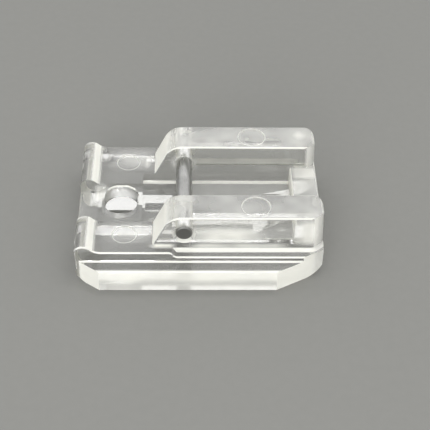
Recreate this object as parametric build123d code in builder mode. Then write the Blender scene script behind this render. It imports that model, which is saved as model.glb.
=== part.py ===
from build123d import *
import os

# Plan of the foot, mm: x from the cross pin towards the heel, y from the middle of the two rails
nose_x = -13.05
tail_x = 16.75
plate_half = 9.96
flange_y = 11.68
flange_front_x = -10.09
flange_rear_x = 11.08
flange_root_y = 8.00
flange_edge = 0.20
flange_fillet = 0.25
corner_x = -12.50
corner_tail_y = 8.62

# Heights above the sole
toe_z = 4.47
heel_z = 3.80
flange_z = 3.04
rail_z = 8.87
bridge_z = 5.60
channel_z = 3.10
pocket_depth = 0.30

# Side outline of the base plate
sole_front_x = -11.60
nose_low = (-12.88, 1.35)
nose_high_z = 4.30
lip_crest = (-12.00, 5.37)
lip_back = (-11.10, 5.00)
lip_foot_x = -9.80
heel_flat_x = 14.60
heel_lift = 1.30
step_rear_x = -0.70
step_front_x = -1.85

# Rails that carry the pin
rail_in = 4.45
rail_out = 8.71
rail_foot_x = -4.10
rail_foot_z = 3.90
rail_slope_x = -1.74
rail_rear_x = 16.50
rail_round = 2.40
rail_end_round = 0.50
rail_corner = 1.80
rail_inner_corner = 1.60
rail_root = 2.90
edge_round = 0.25
foot_fillet = 0.60
fillet_root = 0.30
fillet_turn = 70

# Channel between the rails and the bridge that closes it at the heel
channel_front_x = -5.20
channel_rear_x = 13.40
channel_fillet = 0.45
bridge_edge = 0.25
bridge_flat_x = 16.45
bridge_rear_z = 5.30

# Toe pocket, needle hole and the scooped gap in the lip
pocket_front_x = -9.70
pocket_far_y = 2.60
pocket_near_y = -4.45
needle_x = -7.85
needle_length = 4.10
needle_width = 5.00
needle_round = 1.90
needle_rim = 0.15
needle_rim_angle = 45
gap_near_y = -4.50
gap_far_y = 2.20
gap_floor_z = 3.60
gap_rear_x = -10.70

# Underside: a guide tunnel that a rib and a block narrow behind the needle, and a leaning outer flank
tunnel_z = 2.30
tunnel_near_y = -4.43
tunnel_near_top_y = -4.03
tunnel_far_y = 2.55
tunnel_far_top_y = 2.45
flare_start_x = 8.90
flare_end_y = 4.70
rib_near_y = -0.40
rib_far_y = 0.90
rib_front_x = -4.90
block_far_y = 2.70
block_front_x = -1.50
rib_ramp_x = 8.70
rib_rear_x = 12.50
flank_z = 2.00
flank_lean = 0.36

# Cross pin
pin_z = 6.32
pin_radius = 1.00
pin_length = 17.20
pin_chamfer = 0.15
bore_radius = 1.02
bore_chamfer = 0.35

# Ejector marks
mark_depth = 0.08
rail_mark_x = 8.52
rail_mark_y = 6.58
rail_mark_radius = 1.70
toe_mark_x = -7.15
toe_mark_y = 6.75
toe_mark_radius = 1.44

# Drawing planes: the origin lies on the sole under the middle of the outline
x_shift = -(nose_x + tail_x) / 2
y_shift = (flange_y - plate_half) / 2
datum = (x_shift, y_shift, 0)
plan = Plane(origin=datum)
side = Plane(origin=datum, x_dir=(1, 0, 0), z_dir=(0, -1, 0))
section = Plane(origin=datum, x_dir=(0, 1, 0), z_dir=(1, 0, 0))
edge_low = (-flange_y, flange_z - flange_edge)
edge_high = (-flange_y + flange_edge, flange_z)
fillet_low = (-plate_half - flange_fillet, flange_z)
fillet_high = (-plate_half, flange_z + flange_fillet)
inner_start = (tail_x - rail_inner_corner, rail_in)
inner_end = (tail_x, rail_in + rail_inner_corner)
end_lean = (tail_x - rail_rear_x) / (rail_z - rail_root)
bridge_rear = (tail_x - end_lean * (bridge_rear_z - rail_root), bridge_rear_z)
bridge_low = (channel_rear_x, bridge_z - bridge_edge)
bridge_high = (channel_rear_x + bridge_edge, bridge_z)
step_mid = ((step_rear_x + step_front_x) / 2, (heel_z + toe_z) / 2)
rail_mid = (rail_in + rail_out) / 2
full_length = tail_x - nose_x
past = 1.0
near = 0.01

with BuildPart() as rails:
    # one side outline, cut to two bars that are rounded at the heel
    for rail_y in (-rail_mid, rail_mid):
        with BuildSketch(side.offset(-rail_y)):
            Polygon(
                (rail_foot_x, rail_root),
                (tail_x, rail_root),
                (rail_rear_x, rail_z),
                (rail_slope_x, rail_z),
                (rail_foot_x, rail_foot_z),
                align=None,
            )
            fillet(vertices().group_by(Axis.Y)[-1].sort_by(Axis.X)[0], rail_round)
            fillet(vertices().group_by(Axis.Y)[-1].sort_by(Axis.X)[-1], rail_end_round)
        extrude(amount=(rail_out - rail_in) / 2, both=True)
    rail_rims = rails.edges().filter_by(Plane.XZ).filter_by(lambda e: e.center().Z > rail_root + past)
    fillet(rail_rims, edge_round)
    with BuildSketch(plan.offset(rail_root)):
        with BuildLine():
            Polyline((tail_x - rail_corner, rail_out), (nose_x, rail_out), (nose_x, rail_in), inner_start)
            TangentArc(inner_start, inner_end, tangent=(1, 0))
            Line(inner_end, (tail_x, rail_out - rail_corner))
            TangentArc((tail_x, rail_out - rail_corner), (tail_x - rail_corner, rail_out), tangent=(0, 1))
        make_face()
        mirror(about=Plane.XZ)
    extrude(amount=rail_z, dir=(-end_lean, 0, 1), mode=Mode.INTERSECT)

with BuildPart() as rail_fillets:
    # hollow fillet along the outer foot of each rail, turned round its heel corner
    with BuildSketch(section.offset(tail_x - rail_corner)) as fillet_profile:
        with BuildLine():
            Polyline(
                (rail_out, heel_z + foot_fillet),
                (rail_out - fillet_root, heel_z + foot_fillet),
                (rail_out - fillet_root, heel_z - fillet_root),
                (rail_out + foot_fillet, heel_z - fillet_root),
                (rail_out + foot_fillet, heel_z),
            )
            TangentArc((rail_out + foot_fillet, heel_z), (rail_out, heel_z + foot_fillet), tangent=(-1, 0))
        make_face()
    extrude(amount=rail_foot_x - tail_x + rail_corner)
    heel_turn = Axis((x_shift + tail_x - rail_corner, y_shift + rail_out - rail_corner, 0), (0, 0, -1))
    revolve(fillet_profile.sketch, axis=heel_turn, revolution_arc=fillet_turn)
    mirror(about=side)
    with BuildSketch(section.offset(tail_x)):
        with Locations((0, heel_z)):
            Rectangle(2 * flange_y, 2 * past)
    extrude(amount=past, mode=Mode.SUBTRACT)

with BuildPart() as flange:
    # low ledge along one side, rounded at its edge and filleted into the plate
    with BuildSketch(section.offset(nose_x - past)):
        with BuildLine():
            Polyline((-flange_root_y, 0), (-flange_y, 0), edge_low)
            TangentArc(edge_low, edge_high, tangent=(0, 1))
            Line(edge_high, fillet_low)
            TangentArc(fillet_low, fillet_high, tangent=(1, 0))
            Polyline(fillet_high, (-flange_root_y, flange_z + flange_fillet), (-flange_root_y, 0))
        make_face()
    extrude(amount=full_length + 2 * past)
    with BuildSketch(plan):
        Polygon(
            (corner_x, -flange_root_y),
            (corner_x, -plate_half),
            (flange_front_x, -flange_y),
            (flange_rear_x, -flange_y),
            (tail_x, -corner_tail_y),
            (tail_x, -flange_root_y),
            align=None,
        )
    extrude(amount=toe_z, mode=Mode.INTERSECT)

with BuildPart() as foot_body:
    # base plate with the raised lip at the toe and the lifted heel
    with BuildSketch(side):
        with BuildLine():
            Line((sole_front_x, 0), (heel_flat_x, 0))
            TangentArc((heel_flat_x, 0), (tail_x, heel_lift), tangent=(1, 0))
            Polyline((tail_x, heel_lift), (tail_x, heel_z), (step_rear_x, heel_z))
            TangentArc((step_rear_x, heel_z), step_mid, tangent=(-1, 0))
            TangentArc((step_front_x, toe_z), step_mid, tangent=(1, 0))
            Line((step_front_x, toe_z), (lip_foot_x, toe_z))
            TangentArc((lip_foot_x, toe_z), lip_back, tangent=(-1, 0))
            TangentArc(lip_crest, lip_back, tangent=(1, 0))
            TangentArc(lip_crest, (nose_x, nose_high_z), tangent=(-1, 0))
            Line((nose_x, nose_high_z), nose_low)
            TangentArc((sole_front_x, 0), nose_low, tangent=(-1, 0))
        make_face()
    extrude(amount=plate_half, both=True)
    plate_sides = foot_body.edges().filter_by(Plane.XZ)
    fillet(plate_sides.filter_by(lambda e: e.center().Z > heel_z - edge_round), edge_round)

    # side flange
    add(flange.part)

    # rounded sole at the toe and lifted sole at the heel, across plate and flange
    with BuildSketch(side):
        with BuildLine():
            TangentArc((sole_front_x, 0), nose_low, tangent=(-1, 0))
            Polyline(nose_low, (nose_x - past, nose_low[1]), (nose_x - past, 0), (sole_front_x, 0))
        make_face()
        with BuildLine():
            TangentArc((heel_flat_x, 0), (tail_x, heel_lift), tangent=(1, 0))
            Polyline((tail_x, heel_lift), (tail_x + past, heel_lift), (tail_x + past, 0), (heel_flat_x, 0))
        make_face()
    extrude(amount=flange_y + past, both=True, mode=Mode.SUBTRACT)

    # rails
    add(rails.part)
    add(rail_fillets.part)

    # bridge between the rails at the heel
    with BuildSketch(side):
        with BuildLine():
            Line((channel_rear_x, rail_root), bridge_low)
            TangentArc(bridge_low, bridge_high, tangent=(0, 1))
            Line(bridge_high, (bridge_flat_x, bridge_z))
            TangentArc((bridge_flat_x, bridge_z), bridge_rear, tangent=(1, 0))
            Polyline(bridge_rear, (tail_x, rail_root), (channel_rear_x, rail_root))
        make_face()
    extrude(amount=rail_in + rail_inner_corner, both=True)

    # slanted heel corners
    with BuildSketch(plan):
        with BuildLine():
            Polyline(
                (flange_rear_x, -flange_y),
                (tail_x, -corner_tail_y),
                (tail_x + past, -corner_tail_y),
                (tail_x + past, -flange_y - past),
                (flange_rear_x, -flange_y - past),
                (flange_rear_x, -flange_y),
            )
        make_face()
        mirror(about=Plane.XZ)
    extrude(amount=rail_z + past, mode=Mode.SUBTRACT)

    # channel between the rails
    with BuildSketch(plan.offset(channel_z)):
        with Locations(((channel_front_x + channel_rear_x) / 2, 0)):
            Rectangle(channel_rear_x - channel_front_x, 2 * rail_in)
    extrude(amount=rail_z, mode=Mode.SUBTRACT)
    long_edges = foot_body.edges().filter_by(Axis.X)
    floor_edges = long_edges.filter_by(lambda e: abs(e.center().Z - channel_z) < near)
    channel_edges = floor_edges.filter_by(lambda e: abs(abs(e.center().Y - y_shift) - rail_in) < near)
    fillet(channel_edges, channel_fillet)

    # shallow pocket in the toe
    with BuildSketch(plan.offset(toe_z - pocket_depth)):
        with Locations(((pocket_front_x + channel_front_x) / 2, (pocket_near_y + pocket_far_y) / 2)):
            Rectangle(channel_front_x - pocket_front_x, pocket_far_y - pocket_near_y)
    extrude(amount=pocket_depth + past, mode=Mode.SUBTRACT)

    # scooped gap in the lip
    with BuildSketch(side.offset(-(gap_near_y + gap_far_y) / 2)):
        Polygon(
            (nose_x - past, gap_floor_z),
            (gap_rear_x, gap_floor_z),
            (pocket_front_x, toe_z - pocket_depth),
            (pocket_front_x, rail_z),
            (nose_x - past, rail_z),
            align=None,
        )
    extrude(amount=(gap_far_y - gap_near_y) / 2, both=True, mode=Mode.SUBTRACT)

    # guide tunnel along the sole, wider towards the heel
    with BuildSketch(section.offset(nose_x - past)):
        Polygon(
            (tunnel_near_y, 0),
            (tunnel_near_top_y, tunnel_z),
            (tunnel_far_top_y, tunnel_z),
            (tunnel_far_y, 0),
            align=None,
        )
    extrude(amount=full_length + 2 * past, mode=Mode.SUBTRACT)
    with BuildSketch(plan):
        Polygon(
            (flare_start_x, 0),
            (flare_start_x, tunnel_far_top_y),
            (tail_x + past, flare_end_y),
            (tail_x + past, 0),
            align=None,
        )
    extrude(amount=tunnel_z, mode=Mode.SUBTRACT)

    # rib behind the needle and the wider block it runs into, both fading out before the heel
    for front_x, far_y in ((rib_front_x, rib_far_y), (block_front_x, block_far_y)):
        with BuildSketch(side.offset(-(rib_near_y + far_y) / 2)):
            Polygon(
                (front_x, 0),
                (rib_ramp_x, 0),
                (rib_rear_x, tunnel_z),
                (front_x, tunnel_z),
                align=None,
            )
        extrude(amount=(far_y - rib_near_y) / 2, both=True)

    # leaning outer flank of the plain side
    with BuildSketch(section.offset(nose_x - past)):
        Polygon(
            (plate_half, flank_z),
            (plate_half - flank_lean, 0),
            (plate_half + past, 0),
            (plate_half + past, flank_z),
            align=None,
        )
    extrude(amount=full_length + 2 * past, mode=Mode.SUBTRACT)

    # needle hole with a broken rim
    with BuildSketch(plan):
        with Locations((needle_x, 0)):
            RectangleRounded(needle_length, needle_width, needle_round)
    extrude(amount=rail_z, mode=Mode.SUBTRACT)
    with BuildSketch(plan.offset(toe_z - pocket_depth)):
        with Locations((needle_x, 0)):
            RectangleRounded(
                needle_length + 2 * needle_rim,
                needle_width + 2 * needle_rim,
                needle_round + needle_rim,
            )
    extrude(amount=-needle_rim, taper=needle_rim_angle, mode=Mode.SUBTRACT)

    # pin bores, opened at the outer faces of the rails
    with BuildSketch(side):
        with Locations((0, pin_z)):
            Circle(bore_radius)
    extrude(amount=plate_half, both=True, mode=Mode.SUBTRACT)
    circles = foot_body.edges().filter_by(GeomType.CIRCLE)
    bore_circles = circles.filter_by(lambda e: abs(e.radius - bore_radius) < near)
    bore_rims = bore_circles.filter_by(lambda e: abs(abs(e.center().Y - y_shift) - rail_out) < near)
    chamfer(bore_rims, bore_chamfer)

    # ejector marks on the rails and the toe
    with BuildSketch(plan.offset(rail_z - mark_depth)):
        with Locations((rail_mark_x, rail_mark_y), (rail_mark_x, -rail_mark_y)):
            Circle(rail_mark_radius)
    extrude(amount=past, mode=Mode.SUBTRACT)
    with BuildSketch(plan.offset(toe_z - mark_depth)):
        with Locations((toe_mark_x, toe_mark_y), (toe_mark_x, -toe_mark_y)):
            Circle(toe_mark_radius)
    extrude(amount=past, mode=Mode.SUBTRACT)

foot_body.part.label = "foot_body"

with BuildPart() as cross_pin:
    with BuildSketch(side):
        with Locations((0, pin_z)):
            Circle(pin_radius)
    extrude(amount=pin_length / 2, both=True)
    chamfer(cross_pin.edges().filter_by(GeomType.CIRCLE), pin_chamfer)
cross_pin.part.label = "cross_pin"

os.makedirs("parts", exist_ok=True)
export_step(foot_body.part, "parts/foot_body.step")
export_step(cross_pin.part, "parts/cross_pin.step")
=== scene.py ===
import bpy
import math
from mathutils import Matrix, Vector

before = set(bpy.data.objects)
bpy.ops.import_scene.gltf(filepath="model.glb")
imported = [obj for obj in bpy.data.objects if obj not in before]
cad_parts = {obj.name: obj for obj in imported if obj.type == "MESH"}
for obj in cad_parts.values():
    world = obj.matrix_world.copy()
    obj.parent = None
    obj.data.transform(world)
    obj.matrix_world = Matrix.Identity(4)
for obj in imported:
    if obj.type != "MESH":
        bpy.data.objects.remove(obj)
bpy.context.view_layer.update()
scene = bpy.context.scene
scene.view_settings.view_transform = "Standard"
print("loaded", sorted(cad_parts))


def newMaterial(name):
    material = bpy.data.materials.new(name)
    material.use_nodes = True
    tree = material.node_tree
    return material, tree, tree.nodes["Principled BSDF"]


def addNode(tree, kind, place, sockets=None, **settings):
    node = tree.nodes.new(kind)
    node.location = place
    for key, value in settings.items():
        setattr(node, key, value)
    for key, value in (sockets or {}).items():
        if isinstance(value, bpy.types.NodeSocket):
            tree.links.new(value, node.inputs[key])
        else:
            node.inputs[key].default_value = value
    return node


def addMath(tree, operation, first, second, place):
    return addNode(tree, "ShaderNodeMath", place, {0: first, 1: second}, operation=operation).outputs[0]


def addSize(tree, value, place):
    return addMath(tree, "ABSOLUTE", value, 0.0, place)


def addRange(tree, value, fromSpan, toSpan, place):
    sockets = {"Value": value, "From Min": fromSpan[0], "From Max": fromSpan[1],
               "To Min": toSpan[0], "To Max": toSpan[1]}
    return addNode(tree, "ShaderNodeMapRange", place, sockets).outputs["Result"]


def addNoise(tree, vector, grain, place):
    sockets = {"Vector": vector, "Scale": grain[0], "Detail": grain[1]}
    return addNode(tree, "ShaderNodeTexNoise", place, sockets).outputs["Fac"]


def addMix(tree, share, first, second, place):
    return addNode(tree, "ShaderNodeMix", place, {0: share, 2: first, 3: second}).outputs[0]


def addTint(tree, share, first, second, place):
    sockets = {0: share, 6: first, 7: second}
    return addNode(tree, "ShaderNodeMix", place, sockets, data_type="RGBA").outputs[2]


def addSplit(tree, vector, place):
    return addNode(tree, "ShaderNodeSeparateXYZ", place, {"Vector": vector}).outputs


def addStretch(tree, vector, stretch, place):
    sockets = {"Vector": vector, "Scale": stretch}
    return addNode(tree, "ShaderNodeMapping", place, sockets).outputs["Vector"]


def addBump(tree, height, strength, depth, place):
    sockets = {"Strength": strength, "Distance": depth, "Height": height}
    return addNode(tree, "ShaderNodeBump", place, sockets).outputs["Normal"]


def stepUp(tree, value, span, place):
    return addRange(tree, value, span, (0.0, 1.0), place)


def stepDown(tree, value, span, place):
    return addRange(tree, value, span, (1.0, 0.0), place)


def stepNear(tree, value, centre, half, soft, place):
    away = addSize(tree, addMath(tree, "SUBTRACT", value, centre, place), place)
    return stepDown(tree, away, (half - soft, half + soft), place)


def allOf(tree, masks, place):
    joined = masks[0]
    for other in masks[1:]:
        joined = addMath(tree, "MULTIPLY", joined, other, place)
    return joined


def anyOf(tree, masks, place):
    joined = masks[0]
    for other in masks[1:]:
        joined = addMath(tree, "MAXIMUM", joined, other, place)
    return joined


def distanceTo(tree, first, second, place):
    squares = [addMath(tree, "MULTIPLY", side, side, place) for side in (first, second)]
    return addMath(tree, "SQRT", addMath(tree, "ADD", squares[0], squares[1], place), 0.0, place)


# clear moulding: polished decks, frosted slopes and ends, rims painted milky white as a painted
# highlight, milky patches painted where bright refracted and reflected light shows, painted shade on the
# needle hole's wall
clearFoot = {
    "tint": (0.988, 0.988, 0.972, 1.0),
    "cream": (0.98, 0.975, 0.895, 1.0),         # frosted and milky zones, also the painted highlight and the painted light patches
    "boreShade": (0.68, 0.68, 0.66, 1.0),        # painted shade on the wall of the needle hole
    "index": 1.49,

    # roughness
    "deckRough": 0.02,                          # sole, toe deck and channel floor
    "flankRough": 0.04,                         # rail sides
    "frostRough": (0.44, 0.56),                 # slopes, slanted corners, ends and rims
    "hazeRough": 0.20,                          # the painted light patches and the flange face
    "boreRough": 0.45,
    "handlingRough": (0.0, 0.03),

    # share of light that passes, the rest is milky
    "plainClear": (0.99, 0.91),                 # upright and level faces
    "frostClear": 0.10,

    # strength of frost and haze
    "frostUneven": (0.86, 1.0),
    "heelFrost": 0.62,                          # the heel end is only satin
    # painted highlight along the rims, painted milky white
    "paintedRimHighlight": 0.85,
    "ringFrost": 0.60,
    "railSideHaze": 0.13,
    "railTopHaze": (0.13, 0.39),
    "flangeHaze": (0.62, 0.95),                 # lower and upper half of the face
    "flangeUneven": (0.80, 1.0),
    "patchUneven": (0.8, 1.2),
    "stressFrost": 0.55,
    "scuffFrost": 0.55,

    # lean of the surface over which a finish fades in or out
    "slopeTurn": (0.15, 0.45),
    "frontTurn": (0.30, 0.85),
    "windowTurn": (-0.1, 0.0),
    "rimTurn": (0.18, 0.40),
    "sideTurn": (0.85, 0.97),
    "levelTurn": (0.80, 0.95),
    "flankTurn": (0.5, 0.95),
    "uprightTurn": (0.3, 0.6),

    # noise: scale and detail, and the spans that are read from it
    "speck": (2600.0, 4.0),
    "cloud": (280.0, 1.0),
    "scuff": (3600.0, 2.0),
    "scuffStretch": (0.12, 1.0, 1.0),           # scuffs run along the channel
    "noiseSpan": (0.3, 0.7),
    "handlingSpan": (0.45, 0.75),
    "stressSpan": (0.35, 0.65),
    "scuffSpan": (0.63, 0.69),
    "bumpStrength": 0.25,
    "bumpDepth": 0.000004,

    # places on the foot in metres, from the row's origin
    "middle": 0.00086,                          # middle of the two rails
    "deckTop": (0.0045, 0.0047),
    "toeStrip": (-0.01273, -0.01257),
    "lipFront": (-0.0129, -0.0125),
    "heelSlant": (0.0108, 0.0112),
    "heelEnd": (0.0135, 0.0141),
    "flangeStart": (-0.0092, -0.0090),
    "flangeFace": (-0.01070, -0.01040),
    "flangeHalf": (0.0010, 0.0018),
    "railTop": (0.0083, 0.0087),
    "railInner": (0.0042, 0.0044),              # distances from the middle
    "railOuter": (0.0083, 0.0085),
    "pin": (-0.00185, 0.00632),                 # x and height
    "pinRing": (0.0011, 0.0019),
    "needleAlong": (-0.0097, 0.0024, 0.0001),   # middle, half and softness
    "needleUp": (0.00325, 0.0009, 0.0001),
    "needleSide": (0.00265, 0.00275),
    "channelAlong": (0.0022, 0.0088, 0.0006),
    "channelSide": (0.0043, 0.0044),
    "channelTop": (0.0030, 0.0034),

    # ejector marks: x of the centre, distance from the middle, radius, height
    "ejectorMarks": [
        (0.00667, 0.00658, 0.00170, 0.0088),
        (-0.00900, 0.00675, 0.00144, 0.0044),
    ],
    "ringWidth": (0.00008, 0.00003),            # half and softness
    "ringHeight": (0.0002, 0.00005),

    # painted light: milky patches painted where bright refracted and reflected light shows; centre, half
    # size, softness and share
    "paintedLightPatches": [
        # scooped gap and the two ends of the lip
        ((-0.01228, 0.00220, 0.00390), (0.00075, 0.00110, 0.00060), (0.0003, 0.0003, 0.0003), 0.55),
        ((-0.01370, -0.00364, 0.00450), (0.00120, 0.00030, 0.00090), (0.0003, 0.0002, 0.0003), 0.90),
        ((-0.01370, 0.01080, 0.00420), (0.00120, 0.00040, 0.00120), (0.0004, 0.0002, 0.0006), 0.85),
        # deck before the rails
        ((-0.00660, 0.00780, 0.00440), (0.00040, 0.00120, 0.00060), (0.0004, 0.0006, 0.0004), 0.50),
        ((-0.00430, -0.00790, 0.00450), (0.00130, 0.00030, 0.00030), (0.0005, 0.0002, 0.0002), 0.80),
        # round the ejector marks of the toe, painted light that also stands for stress haze
        ((-0.00820, 0.00820, 0.00440), (0.00230, 0.00120, 0.00040), (0.0012, 0.0011, 0.0002), 0.42),
        ((-0.00830, -0.00560, 0.00440), (0.00230, 0.00110, 0.00040), (0.0012, 0.0010, 0.0002), 0.38),
        # bridge
        ((0.01330, 0.00430, 0.00550), (0.00160, 0.00120, 0.00040), (0.0005, 0.0005, 0.0003), 0.65),
        ((0.01330, 0.00050, 0.00550), (0.00160, 0.00300, 0.00040), (0.0003, 0.0006, 0.0003), 0.30),
        # rail ends
        ((0.01270, 0.00780, 0.00880), (0.00100, 0.00110, 0.00090), (0.0008, 0.0010, 0.0004), 0.60),
        ((0.01360, -0.00780, 0.00660), (0.00230, 0.00050, 0.00190), (0.0012, 0.0003, 0.0006), 0.72),
        # outer face of the near rail, feet of both rails
        ((0.00340, -0.00780, 0.00600), (0.00400, 0.00060, 0.00120), (0.0026, 0.0003, 0.0009), 0.74),
        ((0.00460, -0.00785, 0.00450), (0.00560, 0.00050, 0.00040), (0.0012, 0.0002, 0.0003), 0.65),
        ((0.00550, 0.00960, 0.00470), (0.00700, 0.00050, 0.00050), (0.0015, 0.0002, 0.0002), 0.70),
        # channel floor, painted light that also stands for wear
        ((0.00500, 0.00260, 0.00320), (0.00680, 0.00270, 0.00050), (0.0008, 0.0002, 0.0002), 0.18),
    ],
}


def slopeFrost(tree, lean, spot, cloud):
    along = addSize(tree, lean["X"], (-1800, 900))
    sloped = stepUp(tree, along, clearFoot["slopeTurn"], (-1600, 900))
    zone = anyOf(tree, [
        stepDown(tree, spot["X"], clearFoot["toeStrip"], (-1600, 700)),
        stepUp(tree, spot["X"], clearFoot["heelSlant"], (-1600, 600)),
        stepDown(tree, spot["Y"], clearFoot["flangeStart"], (-1600, 500)),
    ], (-1400, 700))
    # the rails' fronts are clear at the crest and frosted towards the foot
    fronts = allOf(tree, [
        stepUp(tree, along, clearFoot["frontTurn"], (-1600, 1000)),
        stepUp(tree, spot["Z"], clearFoot["deckTop"], (-1600, 800)),
    ], (-1400, 900))
    frosted = anyOf(tree, [allOf(tree, [sloped, zone], (-1200, 700)), fronts], (-1100, 800))
    # the front of the lip stays a clear window
    window = allOf(tree, [
        stepDown(tree, lean["X"], clearFoot["windowTurn"], (-1600, 400)),
        stepDown(tree, spot["X"], clearFoot["lipFront"], (-1600, 300)),
        stepUp(tree, spot["Y"], clearFoot["flangeStart"], (-1600, 200)),
    ], (-1400, 300))
    keep = addMath(tree, "SUBTRACT", 1.0, window, (-1200, 300))
    uneven = addRange(tree, cloud, clearFoot["noiseSpan"], clearFoot["frostUneven"], (-1400, 500))
    return allOf(tree, [frosted, keep, uneven], (-1000, 600))


def paintedRimHighlight(tree, lean):
    # painted highlight: the rounded rims and fillets, which lean both sideways and up, are painted milky
    # white; the same mask roughens them
    both = addMath(tree, "MULTIPLY", lean["Y"], lean["Z"], (-1800, 0))
    rim = stepUp(tree, addSize(tree, both, (-1700, 0)), clearFoot["rimTurn"], (-1600, 0))
    return addMath(tree, "MULTIPLY", rim, clearFoot["paintedRimHighlight"], (-1400, 0))


def sideHaze(tree, lean, spot, offSide, cloud):
    across = addSize(tree, lean["Y"], (-1800, -200))
    outer = allOf(tree, [
        stepUp(tree, across, clearFoot["sideTurn"], (-1600, -200)),
        stepUp(tree, offSide, clearFoot["railOuter"], (-1600, -300)),
        stepUp(tree, spot["Z"], clearFoot["deckTop"], (-1600, -350)),
    ], (-1400, -200))
    flange = stepDown(tree, spot["Y"], clearFoot["flangeFace"], (-1600, -400))
    halves = addRange(tree, spot["Z"], clearFoot["flangeHalf"], clearFoot["flangeHaze"], (-1600, -500))
    uneven = addRange(tree, cloud, clearFoot["noiseSpan"], clearFoot["flangeUneven"], (-1400, -500))
    return anyOf(tree, [
        addMath(tree, "MULTIPLY", outer, clearFoot["railSideHaze"], (-1200, -200)),
        allOf(tree, [flange, halves, uneven], (-1200, -400)),
    ], (-1000, -300))


def topHaze(tree, lean, spot, cloud):
    return allOf(tree, [
        stepUp(tree, lean["Z"], clearFoot["levelTurn"], (-1600, -600)),
        stepUp(tree, spot["Z"], clearFoot["railTop"], (-1600, -700)),
        addRange(tree, cloud, clearFoot["noiseSpan"], clearFoot["railTopHaze"], (-1400, -800)),
    ], (-1200, -700))


def paintedLightHaze(tree, spot, cloud):
    # painted light: milky patches put where bright refracted and reflected light shows
    patches = []
    for centre, half, soft, share in clearFoot["paintedLightPatches"]:
        sides = [stepNear(tree, spot[axis], centre[i], half[i], soft[i], (-1600, -900 - 100 * i))
                 for i, axis in enumerate("XYZ")]
        shares = [share * part for part in clearFoot["patchUneven"]]
        uneven = addRange(tree, cloud, clearFoot["noiseSpan"], shares, (-1400, -1100))
        patches.append(allOf(tree, sides + [uneven], (-1200, -900)))
    return anyOf(tree, patches, (-1000, -900))


def markRings(tree, spot, offSide):
    rings = []
    for markX, markSide, radius, height in clearFoot["ejectorMarks"]:
        along = addMath(tree, "SUBTRACT", spot["X"], markX, (-1800, -1300))
        across = addMath(tree, "SUBTRACT", offSide, markSide, (-1800, -1400))
        reach = distanceTo(tree, along, across, (-1600, -1300))
        rings.append(allOf(tree, [
            stepNear(tree, reach, radius, *clearFoot["ringWidth"], (-1400, -1300)),
            stepNear(tree, spot["Z"], height, *clearFoot["ringHeight"], (-1400, -1400)),
        ], (-1200, -1300)))
    ring = anyOf(tree, rings, (-1100, -1300))
    return addMath(tree, "MULTIPLY", ring, clearFoot["ringFrost"], (-1000, -1300))


def pinStress(tree, spot, offSide, cloud):
    # whitened plastic round the pressed-in bar
    along = addMath(tree, "SUBTRACT", spot["X"], clearFoot["pin"][0], (-1800, -1600))
    above = addMath(tree, "SUBTRACT", spot["Z"], clearFoot["pin"][1], (-1800, -1700))
    reach = distanceTo(tree, along, above, (-1600, -1600))
    stress = allOf(tree, [
        stepDown(tree, reach, clearFoot["pinRing"], (-1400, -1600)),
        stepUp(tree, cloud, clearFoot["stressSpan"], (-1400, -1700)),
        stepUp(tree, offSide, clearFoot["railInner"], (-1400, -1800)),
    ], (-1200, -1600))
    return addMath(tree, "MULTIPLY", stress, clearFoot["stressFrost"], (-1000, -1600))


def channelScuffs(tree, coords, spot, offSide):
    drawn = addStretch(tree, coords, clearFoot["scuffStretch"], (-1800, -2000))
    lines = addNoise(tree, drawn, clearFoot["scuff"], (-1600, -2000))
    scuffs = allOf(tree, [
        stepUp(tree, lines, clearFoot["scuffSpan"], (-1400, -2000)),
        stepNear(tree, spot["X"], *clearFoot["channelAlong"], (-1400, -2100)),
        stepDown(tree, offSide, clearFoot["channelSide"], (-1400, -2200)),
        stepDown(tree, spot["Z"], clearFoot["channelTop"], (-1400, -2300)),
    ], (-1200, -2000))
    return addMath(tree, "MULTIPLY", scuffs, clearFoot["scuffFrost"], (-1000, -2000))


def needleWalls(tree, lean, spot, offSide):
    # painted shade on the needle hole's wall, which is also rough
    rising = addSize(tree, lean["Z"], (-1800, -2500))
    return allOf(tree, [
        stepDown(tree, rising, clearFoot["uprightTurn"], (-1600, -2500)),
        stepNear(tree, spot["X"], *clearFoot["needleAlong"], (-1400, -2500)),
        stepDown(tree, offSide, clearFoot["needleSide"], (-1400, -2600)),
        stepNear(tree, spot["Z"], *clearFoot["needleUp"], (-1400, -2700)),
    ], (-1200, -2500))


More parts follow.
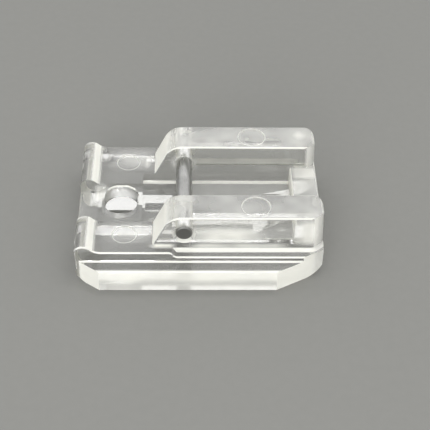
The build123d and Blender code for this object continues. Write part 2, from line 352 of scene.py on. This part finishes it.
def makeClearPlastic():
    material, tree, surface = newMaterial("clearPlastic")
    coords = addNode(tree, "ShaderNodeTexCoord", (-2400, 0)).outputs
    lean = addSplit(tree, coords["Normal"], (-2200, 300))
    spot = addSplit(tree, coords["Object"], (-2200, -300))
    fromMiddle = addMath(tree, "SUBTRACT", spot["Y"], clearFoot["middle"], (-2100, -500))
    offSide = addSize(tree, fromMiddle, (-2000, -500))
    speck = addNoise(tree, coords["Object"], clearFoot["speck"], (-2200, -900))
    cloud = addNoise(tree, coords["Object"], clearFoot["cloud"], (-2200, -1200))
    # grain is rough and milky, with the painted highlight on the rims; haze is milky with a smoother
    # face, with the painted light patches
    grain = anyOf(tree, [
        slopeFrost(tree, lean, spot, cloud),
        paintedRimHighlight(tree, lean),
        markRings(tree, spot, offSide),
    ], (-800, 100))
    hazeAndPaintedLight = anyOf(tree, [
        sideHaze(tree, lean, spot, offSide, cloud),
        topHaze(tree, lean, spot, cloud),
        paintedLightHaze(tree, spot, cloud),
        pinStress(tree, spot, offSide, cloud),
        channelScuffs(tree, coords["Object"], spot, offSide),
    ], (-800, -200))
    heel = addRange(tree, spot["X"], clearFoot["heelEnd"], (1.0, clearFoot["heelFrost"]), (-800, 0))
    milkAndPaintedLight = anyOf(tree, [addMath(tree, "MULTIPLY", grain, heel, (-700, 0)), hazeAndPaintedLight], (-600, 0))
    shadedBore = needleWalls(tree, lean, spot, offSide)
    # roughness with faint handling marks
    across = addSize(tree, lean["Y"], (-800, 500))
    plainSpan = (clearFoot["deckRough"], clearFoot["flankRough"])
    plainRough = addRange(tree, across, clearFoot["flankTurn"], plainSpan, (-600, 400))
    frostRough = addRange(tree, speck, clearFoot["noiseSpan"], clearFoot["frostRough"], (-600, 200))
    rough = anyOf(tree, [
        addMix(tree, grain, plainRough, frostRough, (-400, 300)),
        addMath(tree, "MULTIPLY", hazeAndPaintedLight, clearFoot["hazeRough"], (-400, 200)),
    ], (-300, 300))
    boreRough = addMath(tree, "MULTIPLY", shadedBore, clearFoot["boreRough"], (-400, 100))
    handling = addRange(tree, cloud, clearFoot["handlingSpan"], clearFoot["handlingRough"], (-400, -100))
    worn = addMath(tree, "ADD", addMath(tree, "ADD", rough, boreRough, (-200, 300)), handling, (0, 300))
    # clearness and tint: the cream also carries the painted highlight and the painted light patches
    plainClear = addRange(tree, lean["Z"], clearFoot["levelTurn"], clearFoot["plainClear"], (-400, 600))
    clearness = addMix(tree, milkAndPaintedLight, plainClear, clearFoot["frostClear"], (-200, 600))
    tint = addTint(tree, milkAndPaintedLight, clearFoot["tint"], clearFoot["cream"], (-400, 900))
    # painted shade on the needle hole's wall
    shaded = addTint(tree, shadedBore, tint, clearFoot["boreShade"], (-200, 900))
    bump = addBump(tree, speck, clearFoot["bumpStrength"], clearFoot["bumpDepth"], (0, -250))
    tree.links.new(shaded, surface.inputs["Base Color"])
    tree.links.new(worn, surface.inputs["Roughness"])
    tree.links.new(clearness, surface.inputs["Transmission Weight"])
    tree.links.new(bump, surface.inputs["Normal"])
    surface.inputs["IOR"].default_value = clearFoot["index"]
    print("clear plastic ready, nodes", len(tree.nodes))
    return material


# ground steel bar that the holder grips
pinSteel = {
    "bright": (0.62, 0.62, 0.61, 1.0),
    "dull": (0.28, 0.28, 0.27, 1.0),
    # painted shade: the cut ends are painted darker than the bar
    "cutEndShade": (0.20, 0.20, 0.19, 1.0),
    "cutRough": 0.25,                   # added on the cut ends
    "cutTurn": (0.5, 0.8),              # lean over which a cut end starts
    "rough": (0.22, 0.34),
    "lines": (5200.0, 3.0),             # scale and detail of the noise
    "lineStretch": (1.0, 0.03, 1.0),    # drawn lines run along the bar
    "lineSpan": (0.3, 0.7),
    "stain": (900.0, 4.0),
    "bumpStrength": 0.3,
    "bumpDepth": 0.000003,
}


def makePinSteel():
    material, tree, surface = newMaterial("groundSteel")
    coords = addNode(tree, "ShaderNodeTexCoord", (-1200, 0)).outputs
    drawn = addStretch(tree, coords["Object"], pinSteel["lineStretch"], (-1000, 0))
    lines = addNoise(tree, drawn, pinSteel["lines"], (-800, 0))
    stain = addNoise(tree, coords["Object"], pinSteel["stain"], (-800, -300))
    lean = addSplit(tree, coords["Normal"], (-1000, 400))
    # cut ends, painted darker as shade and also made rougher
    shadedCutEnd = stepUp(tree, addSize(tree, lean["Y"], (-800, 400)), pinSteel["cutTurn"], (-600, 400))
    tint = addTint(tree, stain, pinSteel["bright"], pinSteel["dull"], (-400, 200))
    shaded = addTint(tree, shadedCutEnd, tint, pinSteel["cutEndShade"], (-200, 200))
    drawnRough = addRange(tree, lines, pinSteel["lineSpan"], pinSteel["rough"], (-400, 0))
    cutRough = addMath(tree, "MULTIPLY", shadedCutEnd, pinSteel["cutRough"], (-400, 400))
    rough = addMath(tree, "ADD", drawnRough, cutRough, (-200, 0))
    bump = addBump(tree, lines, pinSteel["bumpStrength"], pinSteel["bumpDepth"], (-400, -250))
    tree.links.new(shaded, surface.inputs["Base Color"])
    tree.links.new(rough, surface.inputs["Roughness"])
    tree.links.new(bump, surface.inputs["Normal"])
    surface.inputs["Metallic"].default_value = 1.0
    print("pin steel ready")
    return material


def dressNode(name, material):
    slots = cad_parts[name].material_slots
    for slot in slots:
        slot.material = material
    print("dressed", name, "slots", len(slots))


dressNode("foot_body", makeClearPlastic())
dressNode("cross_pin", makePinSteel())

# plain table
table = {
    "half": 1.5,
    "drop": -0.00004,               # just under the sole
    "grey": (0.240, 0.240, 0.227, 1.0),
    "greyFar": (0.254, 0.254, 0.240, 1.0),
    "grain": (900.0, 2.0),
    "rough": 0.9,
    "gloss": 0.2,
}


def makeTable():
    half, drop = table["half"], table["drop"]
    corners = [(-half, -half, drop), (half, -half, drop), (half, half, drop), (-half, half, drop)]
    mesh = bpy.data.meshes.new("tableTop")
    mesh.from_pydata(corners, [], [(0, 1, 2, 3)])
    top = bpy.data.objects.new("tableTop", mesh)
    scene.collection.objects.link(top)
    material, tree, surface = newMaterial("tableGrey")
    coords = addNode(tree, "ShaderNodeTexCoord", (-900, 0)).outputs
    grain = addNoise(tree, coords["Object"], table["grain"], (-700, 0))
    tint = addTint(tree, grain, table["grey"], table["greyFar"], (-400, 0))
    tree.links.new(tint, surface.inputs["Base Color"])
    surface.inputs["Roughness"].default_value = table["rough"]
    surface.inputs["Specular IOR Level"].default_value = table["gloss"]
    mesh.materials.append(material)
    print("table in place")


makeTable()

# soft light: a sky that pales upwards, a long strip above and a low fill from the front
light = {
    "sky": (0.42, 1.05),            # strength at the horizon and overhead
    "rise": (0.0, 0.45),            # heights of the direction between which it grows
    "white": (1.0, 1.0, 1.0, 1.0),
    "panels": [
        {"name": "topStrip", "place": (0.06, 0.16, 0.60), "size": (0.60, 0.05), "watts": 0.55},
        {"name": "frontFill", "place": (-0.12, -0.52, 0.13), "size": (0.35, 0.35), "watts": 1.7},
    ],
}


def makePanel(panel):
    lamp = bpy.data.lights.new(panel["name"], "AREA")
    lamp.shape = "RECTANGLE"
    lamp.size, lamp.size_y = panel["size"]
    lamp.energy = panel["watts"]
    holder = bpy.data.objects.new(panel["name"], lamp)
    holder.location = panel["place"]
    aim = -Vector(panel["place"])
    holder.rotation_euler = aim.to_track_quat("-Z", "Y").to_euler()
    scene.collection.objects.link(holder)


def makeLight():
    world = bpy.data.worlds.new("studioSky")
    scene.world = world
    world.use_nodes = True
    tree = world.node_tree
    sky = tree.nodes["Background"]
    coords = addNode(tree, "ShaderNodeTexCoord", (-800, 0)).outputs
    heading = addSplit(tree, coords["Generated"], (-600, 0))
    level = addRange(tree, heading["Z"], light["rise"], light["sky"], (-400, 0))
    tree.links.new(level, sky.inputs["Strength"])
    sky.inputs["Color"].default_value = light["white"]
    for panel in light["panels"]:
        makePanel(panel)
    print("light set")


makeLight()

# camera at the photo's angle
eye = {
    "place": (-0.00176, -0.10200, 0.09529),
    "pitch": 42.34,
    "yaw": 2.13,
    "roll": 1.56,
    "lens": 92.09,
    "sensor": 36.0,
    "near": 0.001,
}


def makeCamera():
    pitch, yaw, roll = (math.radians(eye[turn]) for turn in ("pitch", "yaw", "roll"))
    ahead = Vector((math.sin(yaw) * math.cos(pitch), math.cos(yaw) * math.cos(pitch), -math.sin(pitch)))
    level = Vector((math.cos(yaw), -math.sin(yaw), 0.0))
    upright = level.cross(ahead)
    across = math.cos(roll) * level + math.sin(roll) * upright
    above = math.cos(roll) * upright - math.sin(roll) * level
    turned = Matrix((across, above, -ahead)).transposed().to_4x4()
    camera = bpy.data.cameras.new("eye")
    camera.sensor_fit = "HORIZONTAL"
    camera.sensor_width = eye["sensor"]
    camera.lens = eye["lens"]
    camera.clip_start = eye["near"]
    holder = bpy.data.objects.new("eye", camera)
    holder.matrix_world = Matrix.Translation(eye["place"]) @ turned
    scene.collection.objects.link(holder)
    scene.camera = holder
    print("camera set")


makeCamera()
